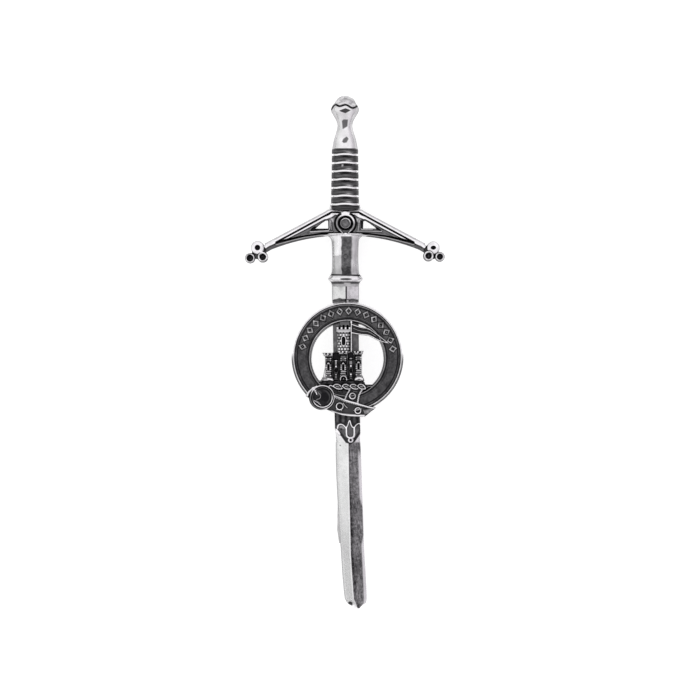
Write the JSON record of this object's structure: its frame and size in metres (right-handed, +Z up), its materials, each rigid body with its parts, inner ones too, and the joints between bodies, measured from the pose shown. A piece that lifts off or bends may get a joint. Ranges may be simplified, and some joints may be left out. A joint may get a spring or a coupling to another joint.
{
  "type": "kilt pin",
  "caption": "Sword-shaped cast pewter kilt pin with a strap-and-buckle castle badge on its blade and a brooch pin fitting on its back, lying face up",
  "frame": {"origin": "centre of the box round the pin, on the plane of the fitting's feet that it lies on", "axes": "+Y along the sword to its pommel, +X to the right of the face, +Z up out of the face"},
  "size_m": [0.04, 0.1024, 0.0107],
  "materials": {
    "pewter": "polished cast pewter, dark in its recesses",
    "antiqued_pewter": "antiqued cast pewter with bright worn relief",
    "plated_steel": "nickel-plated steel, plain"
  },
  "bodies": {
    "root": {"sword": "pewter", "crest_badge": "antiqued_pewter", "brooch_pin": "plated_steel"}
  },
  "joints": []
}
